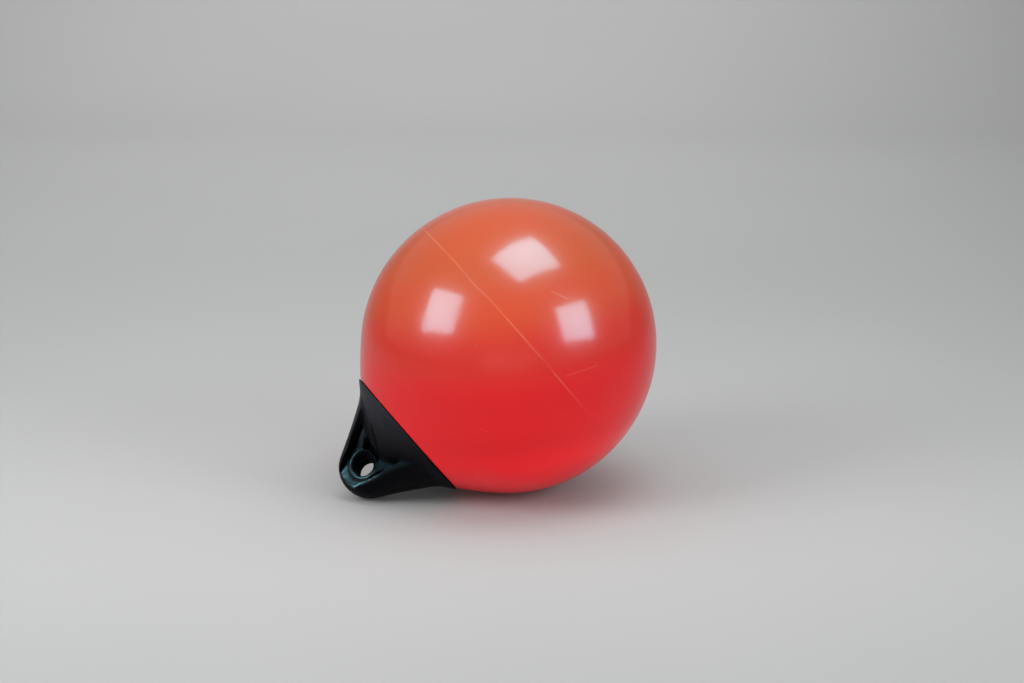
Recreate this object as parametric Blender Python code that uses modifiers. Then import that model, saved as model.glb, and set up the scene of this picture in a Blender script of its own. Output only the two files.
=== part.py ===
"""A small net float: an inflated red vinyl ball with a black moulded ropehold on one end.

It lies as it comes to rest on a floor, on a small flat patch of the ball and on the tip of the ropehold. Both
pieces are modelled about the float's own axis (local +Z runs from the ball's centre out through the
ropehold, local +X along the rope eye) and hang from one empty, which leans them over.
"""

import math

import bmesh
import bpy
from mathutils import Matrix, Vector

# Ball, in metres. Heights along the axis are measured from the ball's centre.
BALL_RADIUS = 0.1000
BACK_STRETCH = 1.017
SKIN_LEAVES_BALL = 0.0660
SKIN_LEAVING_SLOPE = -0.88
CONTACT_PATCH_RADIUS = 0.0090
SEAM_HEIGHT = -0.0078
SEAM_PROUD = 0.0004
SEAM_HALF_WIDTH = 0.0007

# Ring where the red skin ends and the black moulding begins.
RING_HEIGHT = 0.0900
RING_RADIUS = 0.0500
SEAT_GAP = 0.0003
RIM_ROUNDING = 0.0006
RIM_THICKNESS = 0.0006
SHOULDER_HANDLE = 0.0072

# Ropehold: a base cone, and a horn-shaped lug that stands on it.
BASE_CONE_HALF_ANGLE = math.radians(54.0)
LUG_RISE = 0.0560
TIP_RADIUS = 0.0212
HORN_HALF_ANGLE = math.radians(30.9)
HORN_HOLLOW = 0.0008
WEB_THICKNESS = 0.0080
HORN_ROOT_ABOVE_RING = 0.0040
HORN_FILLET_RISE = 0.0150
HORN_FILLET_SINK = 0.0003

# The two flanges beside the rib: one thin, one wide with a flat land. Angles are round the axis from the eye.
THIN_FLANGE_ANGLE_AT_EYE = math.radians(42.5)
THIN_FLANGE_ANGLE_AT_RING = math.radians(45.5)
WIDE_FLANGE_ANGLE_AT_EYE = math.radians(33.0)
WIDE_FLANGE_ANGLE_AT_RING = math.radians(34.5)
THIN_FLANGE_GAP_AT_TIP = 0.0010
WIDE_FLANGE_LAP_AT_TIP = 0.0014
LAND_BELOW_HORN = 0.0060
LAND_SLOPE = 0.33

# Rope eye, the rib that runs from it to the tip, and the two legs that tie it to the base cone.
EYE_RADIUS = 0.0072
EYE_WALL = 0.0036
EYE_EDGE_TO_TIP = 0.0116
EYE_MOUTH_ROUNDING = 0.0018
RIB_HALF_WIDTH_AT_TIP = 0.0078
FACE_BELOW_LAND = 0.0044
FACE_SLOPE = 0.27
LEG_DROP = 0.0163
LEG_FOOT_HALF_WIDTH = 0.0186
LEG_SHOULDER_DROP = 0.0040
LEG_BULGE = 0.0006

# The crescent pocket between the boss and the cone: a broad head on one side, a narrow tail on the other.
POCKET_HEAD_DROP = 0.0155
POCKET_HEAD_REACH = 0.0124
POCKET_HEAD_ANGLE = math.radians(46.0)
POCKET_NECK_DROP = 0.0126
POCKET_NECK_REACH = 0.0030
POCKET_TAIL_ANGLE = math.radians(39.0)
POCKET_TAIL_WIDTH = 0.0012
POCKET_FLOOR = 0.0050
POCKET_CORNER = 0.0016

# Pose: how far the eye is rolled round the float's axis from pointing straight up.
EYE_ROLL = math.radians(47.5)

TURN_STEPS = 64
EYE_STEPS = 40
BALL_ROWS = 34
SHOULDER_ROWS = 6
ARC_ROWS = 10
LEG_ROWS = 6
POCKET_ROWS = 8
MOUTH_ROWS = 5
ROUND_STEPS = 4
CUTTER_OVERSHOOT = 0.0100


def ball_half_chord(height):
    """Radius of the round ball at a height on its axis."""
    return math.sqrt(BALL_RADIUS**2 - height**2)


def bezier(start, first, second, end, count):
    """Points of a cubic curve, without its start."""
    points = []
    for i in range(1, count + 1):
        t = i / count
        weights = ((1 - t) ** 3, 3 * t * (1 - t) ** 2, 3 * t * t * (1 - t), t**3)
        corners = (start, first, second, end)
        points.append(tuple(sum(w * c[k] for w, c in zip(weights, corners)) for k in (0, 1)))
    return points


def seat_height():
    """Height of the ropehold's flat seat, a hair off the ball's own."""
    return RING_HEIGHT + SEAT_GAP


def tip_height():
    """Height of the lug's tip, which stands on the ring."""
    return RING_HEIGHT + LUG_RISE


def tip_centre():
    return tip_height() - TIP_RADIUS


def horn_radius(height):
    """Outer radius of the lug: a hollow-sided cone that runs into a round tip."""
    touch = tip_centre() + TIP_RADIUS * math.sin(HORN_HALF_ANGLE)
    if height > touch:
        return math.sqrt(max(TIP_RADIUS**2 - (height - tip_centre()) ** 2, 0.0))
    straight = TIP_RADIUS * math.cos(HORN_HALF_ANGLE) + (touch - height) * math.tan(HORN_HALF_ANGLE)
    along = (touch - height) / (touch - RING_HEIGHT)
    return straight - HORN_HOLLOW * math.sin(math.pi * min(along, 1.0))


def land_at_eye():
    """Distance from the middle plane to a flange's land, level with the eye."""
    return horn_radius(eye_height()) - LAND_BELOW_HORN


def core_face(height):
    """Distance from the middle plane to the sloping face of the rib and the legs."""
    return (land_at_eye() - FACE_BELOW_LAND) - FACE_SLOPE * (height - eye_height())


def boss_radius():
    return EYE_RADIUS + EYE_WALL


def eye_height():
    """Height of the rope eye, set by the material left between it and the tip."""
    return tip_height() - EYE_EDGE_TO_TIP - EYE_RADIUS


def cutter_reach():
    """How far from the axis a cutter runs, past the widest part of the moulding."""
    return RING_RADIUS + CUTTER_OVERSHOOT


def round_eye(radius, turn):
    """A point at this distance from the eye's centre, turned from straight down toward the side."""
    return radius * math.sin(turn), eye_height() - radius * math.cos(turn)


def rest_height():
    """Height of the ball's centre over the floor, with the patch pressed flat."""
    return math.sqrt(BALL_RADIUS**2 - CONTACT_PATCH_RADIUS**2)


def axis_dip():
    """Angle below level at which both the patch and the round tip touch the floor."""
    return math.asin((rest_height() - TIP_RADIUS) / tip_centre())


def float_axes():
    """World directions of the eye, the side and the float's axis, in that order."""
    dip = axis_dip()
    axis = Vector((-math.cos(dip), 0.0, -math.sin(dip)))
    upper = Vector((-math.sin(dip), 0.0, math.cos(dip)))
    near = Vector((0.0, -1.0, 0.0))
    eye = math.cos(EYE_ROLL) * upper + math.sin(EYE_ROLL) * near
    return eye, axis.cross(eye), axis


def centring_shift():
    """How far along X the ball's centre lies from the middle of the whole part."""
    dip = axis_dip()
    tip_reach = tip_centre() * math.cos(dip) + TIP_RADIUS
    back_reach = BALL_RADIUS * math.hypot(BACK_STRETCH * math.cos(dip), math.sin(dip))
    return (tip_reach - back_reach) / 2


def clear_scene():
    for obj in list(bpy.data.objects):
        bpy.data.objects.remove(obj, do_unlink=True)


def new_collection(name):
    collection = bpy.data.collections.new(name)
    bpy.context.scene.collection.children.link(collection)
    return collection


def new_material(name, colour, roughness):
    material = bpy.data.materials.new(name)
    material.use_nodes = True
    shader = material.node_tree.nodes["Principled BSDF"]
    shader.inputs["Base Color"].default_value = (*colour, 1.0)
    shader.inputs["Roughness"].default_value = roughness
    shader.inputs["Metallic"].default_value = 0.0
    return material


def add_object(name, mesh, collection, parent, material=None):
    obj = bpy.data.objects.new(name, mesh)
    collection.objects.link(obj)
    obj.parent = parent
    if material:
        mesh.materials.append(material)
    return obj


def make_helper(obj):
    obj.hide_render = True
    obj.display_type = "WIRE"
    return obj


def turned(name, outline, steps, collection, parent, material=None):
    """A solid of revolution about local Z, from (radius, height) points that run top to bottom."""
    mesh = bpy.data.meshes.new(name)
    points = [(radius, 0.0, height) for radius, height in outline]
    mesh.from_pydata(points, [(i, i + 1) for i in range(len(points) - 1)], [])
    obj = add_object(name, mesh, collection, parent, material)
    screw = obj.modifiers.new("turn", "SCREW")
    screw.steps = steps
    screw.render_steps = steps
    screw.use_merge_vertices = True
    screw.merge_threshold = 0.00001
    screw.use_smooth_shade = True
    return obj


def rounded(outline, radius, count=ROUND_STEPS):
    """The closed outline with each corner turned into an arc, where its sides are long enough."""
    points = []
    size = len(outline)
    for i in range(size):
        corner = Vector(outline[i])
        back = Vector(outline[i - 1]) - corner
        ahead = Vector(outline[(i + 1) % size]) - corner
        half = back.angle(ahead) / 2
        reach = min(radius / math.tan(half), 0.45 * back.length, 0.45 * ahead.length)
        start = corner + back.normalized() * reach
        end = corner + ahead.normalized() * reach
        for k in range(count + 1):
            t = k / count
            points.append((1 - t) ** 2 * start + 2 * t * (1 - t) * corner + t * t * end)
    return [(p.x, p.y) for p in points]


def prisms(name, outline, spans, place, collection, parent):
    """Closed prisms of one flat outline, one for each (low, high) span; place(u, v, w) gives local points."""
    mesh = bpy.data.meshes.new(name)
    shape = bmesh.new()
    for low, high in spans:
        face = shape.faces.new([shape.verts.new(place(u, v, low)) for u, v in outline])
        lifted = bmesh.ops.extrude_face_region(shape, geom=[face])["geom"]
        step = Vector(place(0.0, 0.0, high)) - Vector(place(0.0, 0.0, low))
        bmesh.ops.translate(
            shape, vec=step, verts=[v for v in lifted if isinstance(v, bmesh.types.BMVert)]
        )
    bmesh.ops.recalc_face_normals(shape, faces=shape.faces)
    shape.to_mesh(mesh)
    shape.free()
    return make_helper(add_object(name, mesh, collection, parent))


def across_eye(side, height, depth):
    """An outline seen along the rope eye: across the lug, up the axis, and depth along the eye."""
    return (depth, side, height)


def along_side(depth, height, side):
    """An outline seen from the lug's side: along the eye, up the axis, and its place across the lug."""
    return (depth, side, height)


def combine(obj, operation, other):
    boolean = obj.modifiers.new(other.name, "BOOLEAN")
    boolean.operation = operation
    boolean.solver = "EXACT"
    boolean.object = other
    return boolean


def ball_outline():
    """From the seat face on the axis, round the skin and its raised seam, to the far pole."""
    outline = [(0.0, RING_HEIGHT), (RING_RADIUS - RIM_ROUNDING, RING_HEIGHT)]
    ring = (RING_RADIUS, RING_HEIGHT - RIM_ROUNDING)
    steep = math.radians(90) - BASE_CONE_HALF_ANGLE
    leave = (ball_half_chord(SKIN_LEAVES_BALL), SKIN_LEAVES_BALL)
    ring_handle = (
        ring[0] + SHOULDER_HANDLE * math.cos(steep),
        ring[1] - SHOULDER_HANDLE * math.sin(steep),
    )
    leave_handle = (leave[0] + SHOULDER_HANDLE * SKIN_LEAVING_SLOPE, leave[1] + SHOULDER_HANDLE)
    outline.append(ring)
    outline += bezier(ring, ring_handle, leave_handle, leave, SHOULDER_ROWS)
    start = math.asin(SKIN_LEAVES_BALL / BALL_RADIUS)
    above = math.asin((SEAM_HEIGHT + SEAM_HALF_WIDTH) / BALL_RADIUS)
    below = math.asin((SEAM_HEIGHT - SEAM_HALF_WIDTH) / (BALL_RADIUS * BACK_STRETCH))
    front_rows = round(BALL_ROWS * (start - above) / (start + math.pi / 2))
    back_rows = BALL_ROWS - front_rows
    for i in range(1, front_rows + 1):
        outline.append(skin_point(start + (above - start) * i / front_rows))
    outline.append((ball_half_chord(SEAM_HEIGHT) + SEAM_PROUD, SEAM_HEIGHT))
    for i in range(back_rows):
        outline.append(skin_point(below + (-math.pi / 2 - below) * i / back_rows))
    outline.append((0.0, -BALL_RADIUS * BACK_STRETCH))
    return outline


def skin_point(latitude):
    """Radius and height of the skin at this latitude. The back half is a little stretched."""
    stretch = BACK_STRETCH if latitude < 0 else 1.0
    return BALL_RADIUS * math.cos(latitude), BALL_RADIUS * stretch * math.sin(latitude)


def build_ball(parts, cutters, empty, material):
    ball = turned("float_body", ball_outline(), TURN_STEPS, parts, empty, material)
    bpy.ops.mesh.primitive_cube_add(size=1.0)
    floor = bpy.context.object
    floor.name = "floor_cutter"
    floor.scale = (BALL_RADIUS, BALL_RADIUS, BALL_RADIUS / 4)
    floor.location = (centring_shift(), 0.0, -floor.scale.z / 2)
    for collection in list(floor.users_collection):
        collection.objects.unlink(floor)
    cutters.objects.link(floor)
    combine(ball, "DIFFERENCE", make_helper(floor))
    return ball


def base_outline():
    """The base cone, with a thin upright rim round its seat."""
    rim = seat_height() + RIM_THICKNESS
    apex = rim + RING_RADIUS / math.tan(BASE_CONE_HALF_ANGLE)
    return [(0.0, apex), (RING_RADIUS, rim), (RING_RADIUS, seat_height()), (0.0, seat_height())]


def cone_radius(height):
    """Outer radius of the base cone."""
    return RING_RADIUS - (height - seat_height() - RIM_THICKNESS) * math.tan(BASE_CONE_HALF_ANGLE)


def horn_outline():
    """Tip, hollow side, and a fillet that runs out just inside the base cone."""
    outline = [(0.0, tip_height())]
    for i in range(1, ARC_ROWS + 1):
        turn = (math.pi / 2 - HORN_HALF_ANGLE) * i / ARC_ROWS
        outline.append((TIP_RADIUS * math.sin(turn), tip_centre() + TIP_RADIUS * math.cos(turn)))
    top = outline[-1][1]
    bend = RING_HEIGHT + HORN_FILLET_RISE
    for i in range(1, ARC_ROWS + 1):
        height = top + (bend - top) * i / ARC_ROWS
        outline.append((horn_radius(height), height))
    root = RING_HEIGHT + HORN_ROOT_ABOVE_RING
    start, end = outline[-1], (cone_radius(root) - HORN_FILLET_SINK, root)
    pull = math.dist(start, end) / 3
    first = (start[0] + pull * math.sin(HORN_HALF_ANGLE), start[1] - pull * math.cos(HORN_HALF_ANGLE))
    second = (end[0] - pull * math.sin(BASE_CONE_HALF_ANGLE), end[1] + pull * math.cos(BASE_CONE_HALF_ANGLE))
    outline += bezier(start, first, second, end, SHOULDER_ROWS)
    return outline + [(0.0, root)]


def window_outline():
    """The space between the flanges, seen along the eye."""
    thin = window_side(THIN_FLANGE_ANGLE_AT_EYE, THIN_FLANGE_ANGLE_AT_RING, THIN_FLANGE_GAP_AT_TIP)
    wide = window_side(WIDE_FLANGE_ANGLE_AT_EYE, WIDE_FLANGE_ANGLE_AT_RING, -WIDE_FLANGE_LAP_AT_TIP)
    return thin + [(-x, y) for x, y in reversed(wide)]


def window_side(angle_at_eye, angle_at_ring, gap_at_tip):
    """One flange's inner edge, tip to ring, as half widths and heights."""
    at_eye, at_ring = math.sin(angle_at_eye), math.sin(angle_at_ring)
    touch = tip_centre() + TIP_RADIUS * math.sin(HORN_HALF_ANGLE)
    at_tip = RIB_HALF_WIDTH_AT_TIP + gap_at_tip
    return [
        (at_tip, tip_height() + CUTTER_OVERSHOOT),
        (at_tip, tip_height()),
        (at_eye * horn_radius(touch), touch),
        (at_eye * horn_radius(eye_height()), eye_height()),
        (at_ring * horn_radius(RING_HEIGHT), RING_HEIGHT),
        (at_ring * horn_radius(RING_HEIGHT), RING_HEIGHT - CUTTER_OVERSHOOT),
    ]


def land_outline():
    """What the lands leave of the horn, seen from the lug's side."""
    top, foot = tip_height() + CUTTER_OVERSHOOT, RING_HEIGHT
    at_top = land_at_eye() - LAND_SLOPE * (top - eye_height())
    at_foot = land_at_eye() - LAND_SLOPE * (foot - eye_height())
    return [(at_top, top), (at_foot, foot), (-at_foot, foot), (-at_top, top)]


def core_outline():
    """The rib, the boss and the two legs as one shape, seen along the eye."""
    shoulder = Vector((boss_radius() + LEG_BULGE, eye_height() - LEG_SHOULDER_DROP))
    leg_foot = Vector((LEG_FOOT_HALF_WIDTH, eye_height() - LEG_DROP))
    along = (leg_foot - shoulder).normalized()
    outward = Vector((-along.y, along.x))
    if outward.x < 0:
        outward.negate()
    side = [(RIB_HALF_WIDTH_AT_TIP, tip_height()), (boss_radius(), eye_height())]
    for i in range(LEG_ROWS + 1):
        bulge = LEG_BULGE * math.sin(math.pi * i / LEG_ROWS)
        point = shoulder.lerp(leg_foot, i / LEG_ROWS) + outward * bulge
        side.append((point.x, point.y))
    side.append((LEG_FOOT_HALF_WIDTH, core_root()))
    return side + [(-x, y) for x, y in reversed(side)]


def core_root():
    """Where the legs end inside the base cone, a little above the horn's own root."""
    return RING_HEIGHT + HORN_ROOT_ABOVE_RING + HORN_FILLET_SINK


def slab_outline():
    """The rib and legs from the lug's side: two faces that slope in toward the tip."""
    top, foot = tip_height() + CUTTER_OVERSHOOT / 4, core_root()
    return [
        (core_face(top), top),
        (core_face(foot), foot),
        (-core_face(foot), foot),
        (-core_face(top), top),
    ]


def pocket_outline():
    """The crescent pocket between the boss and the base cone, seen along the eye."""
    tail = round_eye(boss_radius() + POCKET_TAIL_WIDTH, -POCKET_TAIL_ANGLE)
    neck = (-POCKET_NECK_REACH, eye_height() - POCKET_NECK_DROP)
    head = (POCKET_HEAD_REACH, eye_height() - POCKET_HEAD_DROP)
    shoulder = round_eye(math.dist(head, (0.0, eye_height())) - EYE_WALL, POCKET_HEAD_ANGLE)
    corners = rounded([tail, neck, head, shoulder], POCKET_CORNER)[ROUND_STEPS // 2 :]
    arc = []
    for i in range(POCKET_ROWS + 1):
        turn = POCKET_HEAD_ANGLE - (POCKET_HEAD_ANGLE + POCKET_TAIL_ANGLE) * i / POCKET_ROWS
        arc.append(round_eye(boss_radius(), turn))
    return corners + arc


def eye_outline():
    """Half the section of the rope eye about its own axis, with a rounded mouth at each end."""
    mouth = core_face(eye_height())
    outline = [(0.0, cutter_reach()), (EYE_RADIUS + EYE_MOUTH_ROUNDING, cutter_reach())]
    for i in range(MOUTH_ROWS + 1):
        turn = math.pi / 2 * i / MOUTH_ROWS
        outline.append(
            (
                EYE_RADIUS + EYE_MOUTH_ROUNDING * (1 - math.sin(turn)),
                mouth - EYE_MOUTH_ROUNDING * (1 - math.cos(turn)),
            )
        )
    return outline + [(r, -h) for r, h in reversed(outline)]


def build_ropehold(parts, cutters, empty, material):
    half_web = WEB_THICKNESS / 2
    reach = cutter_reach()
    both = [(-reach, -half_web), (half_web, reach)]
    floors = [(-reach, -POCKET_FLOOR), (POCKET_FLOOR, reach)]
    lug = make_helper(turned("lug_horn", horn_outline(), TURN_STEPS, cutters, empty))
    window = prisms("window_cutter", window_outline(), both, across_eye, cutters, empty)
    core = prisms("eye_core", core_outline(), [(-reach, reach)], across_eye, cutters, empty)
    slab = prisms("core_slab", slab_outline(), [(-reach, reach)], along_side, cutters, empty)
    combine(core, "INTERSECT", slab)
    combine(window, "DIFFERENCE", core)
    lands = prisms("land_slab", land_outline(), [(-reach, reach)], along_side, cutters, empty)
    combine(lug, "INTERSECT", lands)
    combine(lug, "DIFFERENCE", window)

    pocket = prisms("pocket_cutter", pocket_outline(), floors, across_eye, cutters, empty)
    eye = make_helper(turned("eye_cutter", eye_outline(), EYE_STEPS, cutters, empty))
    eye.location = (0.0, 0.0, eye_height())
    eye.rotation_euler = (0.0, math.pi / 2, 0.0)

    ropehold = turned("ropehold", base_outline(), TURN_STEPS, parts, empty, material)
    combine(ropehold, "UNION", lug)
    combine(ropehold, "DIFFERENCE", pocket)
    combine(ropehold, "DIFFERENCE", eye)
    return ropehold


def main():
    clear_scene()
    parts = new_collection("net_float")
    cutters = new_collection("cutters")
    red = new_material("red_vinyl", (0.62, 0.045, 0.035), 0.22)
    black = new_material("black_moulding", (0.012, 0.013, 0.015), 0.35)

    empty = bpy.data.objects.new("float_axis", None)
    parts.objects.link(empty)
    eye, side, axis = float_axes()
    turn = Matrix((eye, side, axis)).transposed()
    empty.rotation_euler = turn.to_euler()
    empty.location = (centring_shift(), 0.0, rest_height())

    build_ball(parts, cutters, empty, red)
    build_ropehold(parts, cutters, empty, black)


main()
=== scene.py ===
"""The look of a small net float: glossy red vinyl ball, black moulded ropehold, pale seamless studio."""

import math

import bpy
import numpy as np
from mathutils import Matrix, Vector


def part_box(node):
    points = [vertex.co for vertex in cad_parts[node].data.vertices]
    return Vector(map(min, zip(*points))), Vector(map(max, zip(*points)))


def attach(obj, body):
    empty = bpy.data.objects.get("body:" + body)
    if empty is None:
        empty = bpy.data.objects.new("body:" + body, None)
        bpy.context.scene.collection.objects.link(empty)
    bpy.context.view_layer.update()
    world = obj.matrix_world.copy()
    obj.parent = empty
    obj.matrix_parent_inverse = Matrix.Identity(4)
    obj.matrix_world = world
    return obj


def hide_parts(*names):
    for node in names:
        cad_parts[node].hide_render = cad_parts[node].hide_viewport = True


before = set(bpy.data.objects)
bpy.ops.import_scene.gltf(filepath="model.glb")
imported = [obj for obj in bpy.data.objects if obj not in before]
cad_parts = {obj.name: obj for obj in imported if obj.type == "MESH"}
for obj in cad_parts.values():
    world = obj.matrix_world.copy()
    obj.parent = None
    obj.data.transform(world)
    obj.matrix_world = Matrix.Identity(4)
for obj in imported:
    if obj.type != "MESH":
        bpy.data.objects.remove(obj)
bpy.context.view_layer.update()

# The ball's form about its own axis, in metres, as in the CAD.
BALL_RADIUS = 0.1000
BACK_STRETCH = 1.017
SKIN_LEAVES_BALL = 0.0660
SKIN_LEAVING_SLOPE = -0.88
RING_HEIGHT = 0.0900
RING_RADIUS = 0.0500
RIM_ROUNDING = 0.0006
CONE_STEEPNESS = math.radians(36.0)
SKIN_BULGE = 0.0072
CONTACT_PATCH_RADIUS = 0.0090
SEAM_HEIGHT = -0.0078
SEAM_PROUD = 0.00022
SEAM_HALF_WIDTH = 0.0005
TIP_CENTRE = 0.1248
TIP_RADIUS = 0.0212
EYE_HEIGHT = 0.1272
EYE_ROLL = math.radians(47.5)
BALL_TURNS = 320
BALL_ROWS = 300
RIM_STEPS = 8
SHOULDER_STEPS = 40
RIM_START = 0.004
RIM_HANDLE = 0.001

# The ropehold: how finely it is remade from the CAD's mesh, and how far its edges are softened.
VOXEL_SIZE = 0.00064
SOFTEN_FACTOR = 0.5
SOFTEN_STEPS = 12

# The lip round the rope eye.
LIP_RADIUS = 0.0091
LIP_HALF_WIDTH = 0.0012
LIP_PROUD = 0.0007
LIP_FACING = (0.5, 0.9)

# The step in each face above the eye, as places (across, along the float's axis).
STEP_LINE = (
    (-0.0084, 0.1210),
    (-0.0059, 0.1170),
    (-0.0026, 0.1133),
    (0.0021, 0.1099),
    (0.0076, 0.1068),
    (0.0111, 0.1048),
)
STEP_DEPTH = 0.0014
STEP_EDGE = 0.0009
STEP_REACH = 0.0060
STEP_FADES_FROM = 0.6
STEP_FACING = (0.2, 0.5)
# Width of the painted shade along the step line.
STEP_PAINTED_SHADE_WIDTH = 0.0016

# The bevel along the face's thin side.
BEVEL_START = 0.0070
BEVEL_WIDTH = 0.0022
BEVEL_SLOPE = 0.17
BEVEL_FOOT = (0.119, 0.123)
BEVEL_FACING = (0.3, 0.6)

# The camera, which stands where the photographer's stood.
CAMERA_AZIMUTH = math.radians(-15.2)
CAMERA_ELEVATION = math.radians(15.0)
CAMERA_DISTANCE = 1.9048
CAMERA_LENS = 98.44
AIM_RIGHT = 0.00272
AIM_UP = 0.00306
SENSOR_WIDTH = 36.0
CLIP_END = 50.0

# The paper sweep: half its width, how far it comes forward, where and how it curves up, and its top.
SWEEP_HALF_WIDTH = 5.0
SWEEP_FRONT = -6.0
SWEEP_CURVE_START = 1.3
SWEEP_CURVE_RADIUS = 0.9
SWEEP_CURVE_STEPS = 32
SWEEP_TOP = 1.0

# Scuffs on the skin: azimuth and elevation of both ends as seen from the ball's centre, and width.
SCUFFS = (
    ((7.1, 3.0), (20.3, 5.1), 0.0009),
    ((19.6, 6.4), (20.6, 3.9), 0.0007),
    ((5.0, 34.9), (11.2, 31.4), 0.0010),
    ((-26.6, -17.6), (-23.6, -18.9), 0.0006),
    ((-27.9, 15.0), (-27.5, 14.8), 0.0008),
    ((43.4, 3.3), (43.6, 3.0), 0.0008),
    ((30.4, 34.5), (30.7, 34.2), 0.0008),
    ((-26.5, -23.0), (-26.2, -23.3), 0.0008),
)
SCUFF_SPAN = 4.0

# Painted light and shade on the red: paler and yellower toward the lit upper left, deeper red low down
# where less light falls; share of the ball's width that way, and colour.
PAINTED_LIGHT_LEAN = 0.09
PAINTED_LIGHT_BANDS = (
    (0.00, (0.96, 0.001, 0.012)),
    (0.17, (0.87, 0.001, 0.009)),
    (0.30, (0.65, 0.002, 0.006)),
    (0.45, (0.56, 0.004, 0.007)),
    (0.60, (0.47, 0.020, 0.011)),
    (0.74, (0.45, 0.050, 0.014)),
    (0.86, (0.41, 0.062, 0.015)),
    (1.00, (0.44, 0.066, 0.017)),
)
DUSTY_RED = (0.56, 0.02, 0.022, 1.0)
DUSTY_SHARE = 0.08
SCUFF_COLOUR = (0.70, 0.14, 0.10, 1.0)
SCUFF_SHARE = 0.07
SCUFF_ROUGHENS = 0.16
# The seam's paler line is partly its own tone and partly a painted highlight on the upper part.
SEAM_PALE_AND_HIGHLIGHT_COLOUR = (0.60, 0.16, 0.09, 1.0)
SEAM_PAINT_EDGE = (0.0002, 0.0008)
SEAM_SHARE = (0.06, 0.46)
SEAM_HIGHLIGHT_ABOVE = (0.30, 0.60)
COAT_ROUGHNESS = (0.11, 0.18)
VINYL_SHADER = {
    "Coat Weight": 0.45,
    "Coat IOR": 1.5,
    "Roughness": 0.32,
    "Specular IOR Level": 0.16,
    "IOR": 1.5,
}

# The moulding's black: painted light makes it paler higher up, painted shade darkens it low down and in the
# step's crease, and rope polishes the faces by the eye.
BLACK_IN_PAINTED_SHADE = (0.0012, 0.0013, 0.0022, 1.0)
BLACK_IN_PAINTED_LIGHT = (0.021, 0.021, 0.026, 1.0)
PAINTED_LIGHT_RISE = (0.030, 0.080)
DUST_CLOUDS = (0.7, 1.0)
CREASE_PAINTED_SHADE = 0.8
POLISH_FACING = (0.7, 0.95)
POLISH_STARTS = (0.120, 0.130)
POLISH_SMOOTHS = 0.16
POLISH_SHINE = 0.9
SATIN_ROUGHNESS = (0.36, 0.46)
SATIN_SHINE = 0.16
BORE_EDGE = (0.0070, 0.0082)
BORE_ROUGHENS = 0.45
MOULDING_IOR = 1.24

# The paper's grey, and the painted light on it: how it falls off from its brightest line toward the sides,
# to the front and to
# the back, where it is painted paler: places in metres, then shares.
PAPER_GREY = (0.404, 0.412)
BRIGHTEST_LINE = -0.13
SIDE_FALL = 0.5
SIDE_LEAST = 0.62
FRONT_FALL = (-0.42, -0.12, 0.89, 1.0)
MIDDLE_FALL = (-0.15, 0.4, 0.98, 0.92)
BACK_RISE = (0.5, 1.35, 1.0, 1.21)
PAPER_ROUGHNESS = 0.95
PAPER_SHINE = 0.08

# Softboxes: direction from the ball, first side's direction, both sizes, soft light, and shine for each
# square metre.
BOXES = (
    ("overhead_box", (0.143, -0.124, 0.982), (0.468, -0.865, -0.178), 0.84, 0.95, 6.5, 56.0),
    ("left_box", (-0.832, -0.198, 0.518), (0.341, -0.919, 0.197), 0.76, 0.80, 13.0, 55.0),
    ("right_box", (0.609, -0.676, 0.414), (0.185, -0.387, -0.903), 0.70, 0.72, 8.5, 55.0),
)
SHINE_DISTANCE = 1.6
WASH_DISTANCE = 1.65
SHINE_TINT = (0.27, 0.83, 1.0)
WHITE = (1.0, 1.0, 1.0)
ROOM_BRIGHTNESS = 0.55
FILL_DIRECTION = (-16.0, 3.0)
FILL_SIZE = (1.6, 0.5)
FILL_POWER = 20.0
CEILING_SIZE = (4.0, 4.0)
CEILING_POWER = 39.0
FAR_LAMP_DISTANCE = 2.4

rest_height = math.sqrt(BALL_RADIUS**2 - CONTACT_PATCH_RADIUS**2)
dip = math.asin((rest_height - TIP_RADIUS) / TIP_CENTRE)
box_low, box_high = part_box("float_body")
lug_reach = TIP_CENTRE * math.cos(dip) + TIP_RADIUS
ball_reach = BALL_RADIUS * math.hypot(BACK_STRETCH * math.cos(dip), math.sin(dip))
ball_centre = Vector(((lug_reach - ball_reach) / 2, 0.0, rest_height))
float_axis = Vector((-math.cos(dip), 0.0, -math.sin(dip)))
upper = Vector((-math.sin(dip), 0.0, math.cos(dip)))
eye_axis = math.cos(EYE_ROLL) * upper + math.sin(EYE_ROLL) * Vector((0.0, -1.0, 0.0))
side_axis = float_axis.cross(eye_axis)
view_out = Vector((math.sin(CAMERA_AZIMUTH), -math.cos(CAMERA_AZIMUTH), 0.0))
view_across = Vector((math.cos(CAMERA_AZIMUTH), math.sin(CAMERA_AZIMUTH), 0.0))
to_world = Matrix.Translation(ball_centre) @ Matrix((eye_axis, side_axis, float_axis)).transposed().to_4x4()


def direction(azimuth, elevation):
    """The way to this azimuth, in degrees to the right of the front, and elevation."""
    a, e = math.radians(azimuth), math.radians(elevation)
    return Vector((math.sin(a) * math.cos(e), -math.cos(a) * math.cos(e), math.sin(e)))


def half_chord(height):
    return math.sqrt(BALL_RADIUS**2 - height**2)


def bezier(start, first, second, end, count):
    points = []
    for i in range(1, count + 1):
        t = i / count
        weights = ((1 - t) ** 3, 3 * t * (1 - t) ** 2, 3 * t * t * (1 - t), t**3)
        corners = (start, first, second, end)
        points.append(tuple(sum(w * c[k] for w, c in zip(weights, corners)) for k in (0, 1)))
    return points


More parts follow.
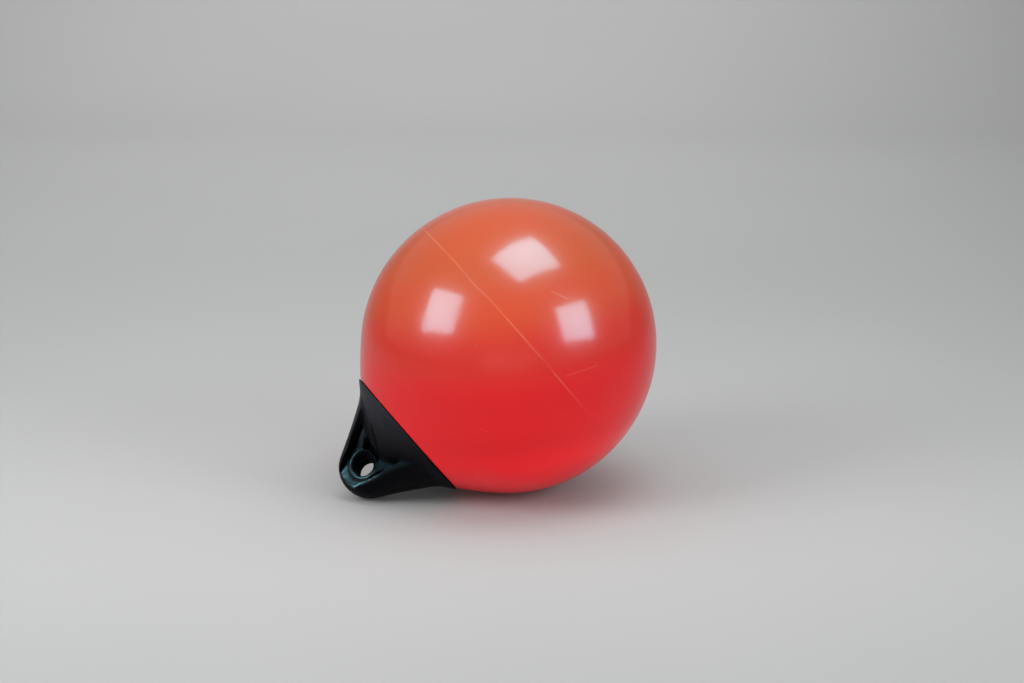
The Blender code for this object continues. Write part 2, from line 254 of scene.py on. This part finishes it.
def ball_outline():
    """Radius and height from the ring round the skin to the far pole."""
    ring = (RING_RADIUS, RING_HEIGHT - RIM_ROUNDING)
    leave = (half_chord(SKIN_LEAVES_BALL), SKIN_LEAVES_BALL)
    ring_handle = (
        ring[0] + SKIN_BULGE * math.cos(CONE_STEEPNESS),
        ring[1] - SKIN_BULGE * math.sin(CONE_STEEPNESS),
    )
    leave_handle = (leave[0] + SKIN_BULGE * SKIN_LEAVING_SLOPE, leave[1] + SKIN_BULGE)
    outline = [(0.0, RING_HEIGHT), (RING_RADIUS - RIM_START, RING_HEIGHT)]
    rim_handles = (RING_RADIUS - RIM_HANDLE, RING_HEIGHT), (RING_RADIUS, RING_HEIGHT)
    outline += bezier(outline[-1], *rim_handles, ring, RIM_STEPS)
    outline += bezier(ring, ring_handle, leave_handle, leave, SHOULDER_STEPS)
    start = math.asin(SKIN_LEAVES_BALL / BALL_RADIUS)
    rows = BALL_ROWS - len(outline)
    for i in range(1, rows):
        latitude = start + (-math.pi / 2 - start) * i / rows
        stretch = BACK_STRETCH if latitude < 0 else 1.0
        height = BALL_RADIUS * stretch * math.sin(latitude)
        off = (height - SEAM_HEIGHT) / SEAM_HALF_WIDTH
        proud = SEAM_PROUD * math.exp(-off * off)
        outline.append((BALL_RADIUS * math.cos(latitude) + proud, height))
    outline.append((0.0, -BALL_RADIUS * BACK_STRETCH))
    return outline


def build_ball():
    """The skin turned about the float's axis, kept inside the CAD's box."""
    verts, faces = [], []
    outline = ball_outline()
    for radius, height in outline[1:-1]:
        for k in range(BALL_TURNS):
            turn = 2 * math.pi * k / BALL_TURNS
            verts.append(to_world @ Vector((radius * math.cos(turn), radius * math.sin(turn), height)))
    rows = len(outline) - 2
    for i in range(rows - 1):
        for k in range(BALL_TURNS):
            a = i * BALL_TURNS + k
            b = i * BALL_TURNS + (k + 1) % BALL_TURNS
            faces.append((a, a + BALL_TURNS, b + BALL_TURNS, b))
    top, bottom = len(verts), len(verts) + 1
    verts.append(to_world @ Vector((0.0, 0.0, outline[0][1])))
    verts.append(to_world @ Vector((0.0, 0.0, outline[-1][1])))
    last = (rows - 1) * BALL_TURNS
    for k in range(BALL_TURNS):
        faces.append((top, k, (k + 1) % BALL_TURNS))
        faces.append((bottom, last + (k + 1) % BALL_TURNS, last + k))
    for v in verts:
        for k in range(3):
            v[k] = min(max(v[k], box_low[k]), box_high[k])
    mesh = bpy.data.meshes.new("vinyl_ball")
    mesh.from_pydata(verts, [], faces)
    mesh.shade_smooth()
    mesh.update()
    ball = bpy.data.objects.new("vinyl_ball", mesh)
    bpy.context.scene.collection.objects.link(ball)
    return ball


def smooth_step(value, low, high):
    t = np.clip((value - low) / (high - low), 0.0, 1.0)
    return t * t * (3 - 2 * t)


def step_recess(side, height):
    """How far the face sinks on the eye's side of the step, fading out past the step's upper end."""
    nearest = np.full(len(side), 1.0)
    recess = np.zeros(len(side))
    spans = len(STEP_LINE) - 1
    for i in range(spans):
        (x0, y0), (x1, y1) = STEP_LINE[i], STEP_LINE[i + 1]
        dx, dy = x1 - x0, y1 - y0
        length = math.hypot(dx, dy)
        t = np.clip(((side - x0) * dx + (height - y0) * dy) / length**2, 0.0, 1.0)
        away = np.hypot(side - x0 - t * dx, height - y0 - t * dy)
        inward = ((height - y0) * dx - (side - x0) * dy) / length
        along = (i + t) / spans
        depth = smooth_step(inward, -STEP_EDGE / 2, STEP_EDGE / 2) * np.exp(-(away / STEP_REACH) ** 2)
        depth *= 1.0 - smooth_step(along, STEP_FADES_FROM, 1.0)
        closer = away < nearest
        recess[closer] = depth[closer]
        nearest[closer] = away[closer]
    return STEP_DEPTH * recess


def mould_details(mesh):
    """Raises the lip round each mouth of the rope eye, sinks the step above it and cuts the bevel.

    Each takes hold where the surface looks along the eye, so the bore and the flanges stay as they are.
    """
    count = len(mesh.vertices)
    places, normals = np.empty(count * 3), np.empty(count * 3)
    mesh.vertices.foreach_get("co", places)
    mesh.vertex_normals.foreach_get("vector", normals)
    places, normals = places.reshape(-1, 3), normals.reshape(-1, 3)
    axes = np.array((eye_axis, side_axis, float_axis))
    out, side, height = axes @ (places - np.array(ball_centre)).T
    facing = normals @ axes[0]
    from_eye = (np.hypot(side, height - EYE_HEIGHT) - LIP_RADIUS) / LIP_HALF_WIDTH
    lip = LIP_PROUD * np.exp(-from_eye * from_eye) * smooth_step(np.abs(facing), *LIP_FACING)
    sunk = step_recess(side, height) * smooth_step(np.abs(facing), *STEP_FACING)
    bevel = BEVEL_SLOPE * np.clip(side - BEVEL_START, 0.0, BEVEL_WIDTH)
    sunk += bevel * smooth_step(np.abs(facing), *BEVEL_FACING) * smooth_step(height, *BEVEL_FOOT)
    move = np.where(out * facing > 0, lip - sunk, 0.0) * np.sign(out)
    places += move[:, None] * axes[0]
    mesh.vertices.foreach_set("co", places.ravel())
    mesh.update()


def build_ropehold():
    """The CAD's ropehold with its edges softened, then its small moulded details."""
    rough_hold = bpy.data.objects.new("rough_hold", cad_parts["ropehold"].data.copy())
    bpy.context.scene.collection.objects.link(rough_hold)
    remesh = rough_hold.modifiers.new("even", "REMESH")
    remesh.mode = "VOXEL"
    remesh.voxel_size = VOXEL_SIZE
    remesh.use_smooth_shade = True
    soften = rough_hold.modifiers.new("fillet", "SMOOTH")
    soften.factor = SOFTEN_FACTOR
    soften.iterations = SOFTEN_STEPS
    even = rough_hold.evaluated_get(bpy.context.evaluated_depsgraph_get())
    mesh = bpy.data.meshes.new_from_object(even)
    bpy.data.objects.remove(rough_hold)
    mesh.name = "moulded_ropehold"
    mould_details(mesh)
    hold = bpy.data.objects.new("moulded_ropehold", mesh)
    bpy.context.scene.collection.objects.link(hold)
    return hold


class Nodes:
    """A short way to lay down shader nodes."""

    def __init__(self, material):
        self.tree = material.node_tree

    def add(self, kind, settings=None, **inputs):
        node = self.tree.nodes.new(kind)
        for key, value in (settings or {}).items():
            setattr(node, key, value)
        for key, value in inputs.items():
            self.put(node.inputs[key.replace("_", " ")], value)
        return node

    def put(self, socket, value):
        if isinstance(value, bpy.types.NodeSocket):
            self.tree.links.new(value, socket)
        else:
            socket.default_value = value

    def math(self, operation, a, b=0.0, clamp=False):
        node = self.add("ShaderNodeMath", {"operation": operation, "use_clamp": clamp})
        self.put(node.inputs[0], a)
        self.put(node.inputs[1], b)
        return node.outputs[0]

    def vector(self, operation, a, b=(0.0, 0.0, 0.0)):
        node = self.add("ShaderNodeVectorMath", {"operation": operation})
        self.put(node.inputs[0], a)
        self.put(node.inputs[1], b)
        return node.outputs["Value"] if operation in ("DOT_PRODUCT", "LENGTH") else node.outputs["Vector"]

    def ramp(self, value, low, high, to_low=0.0, to_high=1.0):
        node = self.add("ShaderNodeMapRange", {"clamp": True, "interpolation_type": "SMOOTHSTEP"})
        self.put(node.inputs["Value"], value)
        node.inputs["From Min"].default_value = low
        node.inputs["From Max"].default_value = high
        node.inputs["To Min"].default_value = to_low
        node.inputs["To Max"].default_value = to_high
        return node.outputs["Result"]

    def noise(self, where, scale, detail=3.0, rough=0.5):
        node = self.add("ShaderNodeTexNoise", Scale=scale, Detail=detail, Roughness=rough)
        self.put(node.inputs["Vector"], where)
        return node.outputs["Fac"]

    def mix(self, amount, a, b):
        node = self.add("ShaderNodeMix", {"data_type": "RGBA"})
        self.put(node.inputs["Factor"], amount)
        self.put(node.inputs[6], a)
        self.put(node.inputs[7], b)
        return node.outputs[2]

    def bands(self, value, stops):
        """A smooth run through these (place, colour) stops."""
        node = self.add("ShaderNodeValToRGB")
        self.put(node.inputs["Fac"], value)
        ramp = node.color_ramp
        ramp.interpolation = "EASE"
        ramp.elements[0].position = stops[0][0]
        ramp.elements[0].color = (*stops[0][1], 1.0)
        ramp.elements[1].position = stops[-1][0]
        ramp.elements[1].color = (*stops[-1][1], 1.0)
        for place, colour in stops[1:-1]:
            ramp.elements.new(place).color = (*colour, 1.0)
        return node.outputs["Color"]

    def bump(self, height, strength, distance, under=None):
        node = self.add("ShaderNodeBump", Strength=strength, Distance=distance, Height=height)
        if under is not None:
            self.put(node.inputs["Normal"], under)
        return node.outputs["Normal"]

    def stroke(self, where, start, end, width):
        """1 on the straight mark between two points, fading to 0 over its width."""
        start, end = Vector(start), Vector(end)
        run = end - start
        from_start = self.vector("SUBTRACT", where, tuple(start))
        reach = self.vector("DOT_PRODUCT", from_start, tuple(run))
        along = self.math("DIVIDE", reach, run.length_squared, clamp=True)
        scaled = self.add("ShaderNodeVectorMath", {"operation": "SCALE"})
        scaled.inputs[0].default_value = tuple(run)
        self.put(scaled.inputs["Scale"], along)
        away = self.vector("LENGTH", self.vector("SUBTRACT", from_start, scaled.outputs["Vector"]))
        return self.ramp(away, width * 0.3, width, 1.0, 0.0)


def new_material(name):
    material = bpy.data.materials.new(name)
    material.use_nodes = True
    return material, Nodes(material), material.node_tree.nodes["Principled BSDF"]


def on_ball(azimuth, elevation):
    return ball_centre + BALL_RADIUS * direction(azimuth, elevation)


def vinyl():
    """Red vinyl with painted light and shade, paler toward the upper left and deeper red low down: a soft
    sheen under a clear gloss, with the seam, scuffs and smears.
    """
    material, n, shader = new_material("vinyl_skin")
    where = n.add("ShaderNodeNewGeometry").outputs["Position"]
    # Painted light and shade: colour bands running from low down to the lit upper left.
    painted_light_way = (Vector((0.0, 0.0, 1.0)) - PAINTED_LIGHT_LEAN * view_across).normalized() / (2 * BALL_RADIUS)
    from_centre = n.vector("SUBTRACT", where, tuple(ball_centre))
    share = n.math("ADD", n.vector("DOT_PRODUCT", from_centre, tuple(painted_light_way)), 0.5)
    colour = n.bands(share, PAINTED_LIGHT_BANDS)
    mottle = n.noise(where, 26.0, 4.0, 0.6)
    colour = n.mix(n.math("MULTIPLY", n.ramp(mottle, 0.35, 0.75), DUSTY_SHARE), colour, DUSTY_RED)
    marks = None
    for start, end, width in SCUFFS:
        # A long mark is laid in short spans, so that it keeps to the skin.
        spans = math.ceil(math.dist(start, end) / SCUFF_SPAN)
        ends = [tuple(a + (b - a) * i / spans for a, b in zip(start, end)) for i in range(spans + 1)]
        for here, there in zip(ends, ends[1:]):
            one = n.stroke(where, on_ball(*here), on_ball(*there), width)
            marks = one if marks is None else n.math("MAXIMUM", marks, one)
    colour = n.mix(n.math("MULTIPLY", marks, SCUFF_SHARE), colour, SCUFF_COLOUR)
    fine = n.noise(where, 900.0, 2.0)
    smears = n.noise(where, 40.0, 5.0, 0.65)
    rough = n.ramp(smears, 0.3, 0.8, *COAT_ROUGHNESS)
    rough = n.math("ADD", rough, n.math("MULTIPLY", marks, SCUFF_ROUGHENS))
    # The moulding seam: a fine paler line, partly the seam's own tone and partly a painted highlight,
    # fresher in some places than in others and shown only on the upper part, where the raised seam catches
    # the light.
    off_seam = n.math("SUBTRACT", n.vector("DOT_PRODUCT", from_centre, tuple(float_axis)), SEAM_HEIGHT)
    seam = n.ramp(n.math("ABSOLUTE", off_seam), *SEAM_PAINT_EDGE, 1.0, 0.0)
    seam = n.math("MULTIPLY", seam, n.ramp(n.noise(where, 34.0, 2.0), 0.35, 0.65, *SEAM_SHARE))
    seam = n.math("MULTIPLY", seam, n.ramp(share, *SEAM_HIGHLIGHT_ABOVE))
    colour = n.mix(seam, colour, SEAM_PALE_AND_HIGHLIGHT_COLOUR)
    n.put(shader.inputs["Base Color"], colour)
    n.put(shader.inputs["Coat Roughness"], rough)
    for setting, value in VINYL_SHADER.items():
        shader.inputs[setting].default_value = value
    waves = n.bump(n.noise(where, 22.0, 2.0), 0.05, 0.01)
    grain = n.bump(fine, 0.04, 0.0004, waves)
    surface = n.bump(n.math("MULTIPLY", marks, -1.0), 0.12, 0.0004, grain)
    n.put(shader.inputs["Normal"], surface)
    n.put(shader.inputs["Coat Normal"], surface)
    return material


def radius_from_eye(n, side, height):
    """Distance from the rope eye's own axis."""
    up = n.math("SUBTRACT", height, EYE_HEIGHT)
    return n.math("SQRT", n.math("ADD", n.math("MULTIPLY", side, side), n.math("MULTIPLY", up, up)))


def moulding():
    """Satin black plastic: polished near the eye, painted paler above and darker low down as painted light
    and shade, matt inside the bore.
    """
    material, n, shader = new_material("black_moulding")
    geometry = n.add("ShaderNodeNewGeometry")
    where, normal = geometry.outputs["Position"], geometry.outputs["Normal"]
    cloud = n.noise(where, 60.0, 4.0, 0.6)
    from_centre = n.vector("SUBTRACT", where, tuple(ball_centre))
    up = n.add("ShaderNodeSeparateXYZ", Vector=where).outputs["Z"]
    height = n.vector("DOT_PRODUCT", from_centre, tuple(float_axis))
    facing = n.math("ABSOLUTE", n.vector("DOT_PRODUCT", normal, tuple(eye_axis)))
    polish = n.math("MULTIPLY", n.ramp(facing, *POLISH_FACING), n.ramp(height, *POLISH_STARTS))
    # Painted light and shade: the black is paler higher up and darkest low down, varied by random clouds.
    painted_light_tone = n.math("MULTIPLY", n.ramp(up, *PAINTED_LIGHT_RISE), n.ramp(cloud, 0.2, 0.7, *DUST_CLOUDS))
    side = n.vector("DOT_PRODUCT", from_centre, tuple(side_axis))
    on_face = n.add("ShaderNodeCombineXYZ", X=side, Y=height).outputs["Vector"]
    # Painted shade: the black is darkened along the step's crease, where the step wall is in shade.
    painted_crease_shade = 0.0
    for start, end in zip(STEP_LINE, STEP_LINE[1:]):
        painted_crease_shade = n.math("MAXIMUM", painted_crease_shade, n.stroke(on_face, (*start, 0.0), (*end, 0.0), STEP_PAINTED_SHADE_WIDTH))
    painted_light_tone = n.math("MULTIPLY", painted_light_tone, n.math("SUBTRACT", 1.0, n.math("MULTIPLY", painted_crease_shade, CREASE_PAINTED_SHADE)))
    in_bore = n.ramp(radius_from_eye(n, side, height), *BORE_EDGE, 1.0, 0.0)
    n.put(shader.inputs["Base Color"], n.mix(painted_light_tone, BLACK_IN_PAINTED_SHADE, BLACK_IN_PAINTED_LIGHT))
    satin = n.ramp(n.noise(where, 120.0, 3.0), 0.3, 0.7, *SATIN_ROUGHNESS)
    satin = n.math("SUBTRACT", satin, n.math("MULTIPLY", polish, POLISH_SMOOTHS))
    n.put(shader.inputs["Roughness"], n.math("ADD", satin, n.math("MULTIPLY", in_bore, BORE_ROUGHENS)))
    shader.inputs["IOR"].default_value = MOULDING_IOR
    shine = n.math("ADD", SATIN_SHINE, n.math("MULTIPLY", polish, POLISH_SHINE))
    n.put(shader.inputs["Specular IOR Level"], shine)
    waves = n.bump(n.noise(where, 140.0, 2.0), 0.12, 0.002)
    n.put(shader.inputs["Normal"], n.bump(n.noise(where, 1500.0, 2.0), 0.06, 0.0003, waves))
    return material


def paper():
    """Grey paper with painted light: a little paler far back and darker toward the sides."""
    material, n, shader = new_material("paper_sweep")
    where = n.add("ShaderNodeNewGeometry").outputs["Position"]
    across = n.vector("DOT_PRODUCT", where, tuple(view_across))
    back = n.vector("DOT_PRODUCT", where, tuple(-view_out))
    # Painted light: the grey falls off from its brightest line toward the sides and the front, with a
    # painted glow far back.
    off = n.math("SUBTRACT", across, BRIGHTEST_LINE)
    painted_side_falloff = n.math("SUBTRACT", 1.0, n.math("MULTIPLY", n.math("MULTIPLY", off, off), SIDE_FALL))
    painted_side_falloff = n.math("MAXIMUM", painted_side_falloff, SIDE_LEAST)
    near = n.math("MULTIPLY", n.ramp(back, *FRONT_FALL), n.ramp(back, *MIDDLE_FALL))
    paler = n.math("MULTIPLY", near, n.ramp(back, *BACK_RISE))
    grain = n.ramp(n.noise(where, 3.0, 2.0), 0.3, 0.7, *PAPER_GREY)
    tone = n.math("MULTIPLY", n.math("MULTIPLY", painted_side_falloff, paler), grain)
    colour = n.add("ShaderNodeCombineColor", Red=tone, Green=tone, Blue=tone)
    n.put(shader.inputs["Base Color"], colour.outputs["Color"])
    shader.inputs["Roughness"].default_value = PAPER_ROUGHNESS
    shader.inputs["Specular IOR Level"].default_value = PAPER_SHINE
    n.put(shader.inputs["Normal"], n.bump(n.noise(where, 400.0, 3.0), 0.05, 0.0005))
    return material


def build_sweep():
    """Paper that lies flat, then curves up behind the float."""
    radius, start = SWEEP_CURVE_RADIUS, SWEEP_CURVE_START
    outline = [(SWEEP_FRONT, 0.0), (start, 0.0)]
    for i in range(1, SWEEP_CURVE_STEPS + 1):
        turn = math.pi / 2 * i / SWEEP_CURVE_STEPS
        outline.append((start + radius * math.sin(turn), radius * (1 - math.cos(turn))))
    outline.append((start + radius, SWEEP_TOP))
    verts, faces = [], []
    for back, up in outline:
        for side in (-SWEEP_HALF_WIDTH, SWEEP_HALF_WIDTH):
            verts.append(-view_out * back + view_across * side + Vector((0, 0, up)))
    for i in range(len(outline) - 1):
        faces.append((2 * i, 2 * i + 1, 2 * i + 3, 2 * i + 2))
    mesh = bpy.data.meshes.new("paper_sweep")
    mesh.from_pydata(verts, [], faces)
    mesh.shade_smooth()
    sweep = bpy.data.objects.new("paper_sweep", mesh)
    bpy.context.scene.collection.objects.link(sweep)
    sweep.data.materials.append(paper())
    return sweep


def softbox(name, m, u, size_u, size_v, power, colour, far):
    """A lamp with four corners on the direction m from the ball, with its first side along u."""
    m = Vector(m).normalized()
    u = Vector(u)
    u = (u - m * u.dot(m)).normalized()
    v = m.cross(u)
    lamp = bpy.data.lights.new(name, "AREA")
    lamp.shape = "RECTANGLE"
    lamp.size, lamp.size_y = size_u, size_v
    lamp.energy = power
    lamp.color = colour
    obj = bpy.data.objects.new(name, lamp)
    obj.matrix_world = Matrix.Translation(ball_centre + m * far) @ Matrix((u, v, m)).transposed().to_4x4()
    bpy.context.scene.collection.objects.link(obj)
    return obj


def light():
    world = bpy.data.worlds.new("room")
    world.use_nodes = True
    bpy.context.scene.world = world
    back = world.node_tree.nodes["Background"]
    back.inputs["Color"].default_value = (*WHITE, 1.0)
    back.inputs["Strength"].default_value = ROOM_BRIGHTNESS
    # Each box is a pair: one lamp gives its soft light, the other its shine.
    for name, m, u, size_u, size_v, soft, shine in BOXES:
        wash = softbox(name + "_wash", m, u, size_u, size_v, soft, WHITE, WASH_DISTANCE)
        wash.visible_glossy = False
        power = shine * size_u * size_v
        gloss = softbox(name + "_shine", m, u, size_u, size_v, power, SHINE_TINT, SHINE_DISTANCE)
        gloss.visible_diffuse = False
    level = (1.0, 0.0, 0.0)
    for name, m, size, power in (
        ("low_fill", direction(*FILL_DIRECTION), FILL_SIZE, FILL_POWER),
        ("ceiling_wash", (0.0, 0.0, 1.0), CEILING_SIZE, CEILING_POWER),
    ):
        softbox(name, m, level, *size, power, WHITE, FAR_LAMP_DISTANCE).visible_glossy = False


def set_camera():
    toward = direction(math.degrees(CAMERA_AZIMUTH), math.degrees(CAMERA_ELEVATION))
    up = toward.cross(view_across)
    camera = bpy.data.objects.new("camera", bpy.data.cameras.new("camera"))
    camera.data.sensor_width = SENSOR_WIDTH
    camera.data.lens = CAMERA_LENS
    camera.data.clip_end = CLIP_END
    camera.location = ball_centre + view_across * AIM_RIGHT + up * AIM_UP + toward * CAMERA_DISTANCE
    camera.rotation_euler = toward.to_track_quat("Z", "Y").to_euler()
    bpy.context.scene.collection.objects.link(camera)
    bpy.context.scene.camera = camera


ball = build_ball()
ball.data.materials.append(vinyl())
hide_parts("float_body")
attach(ball, "root")

hold = build_ropehold()
hold.data.materials.clear()
hold.data.materials.append(moulding())
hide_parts("ropehold")
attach(hold, "root")

build_sweep()
light()
set_camera()
bpy.context.scene.view_settings.view_transform = "Standard"
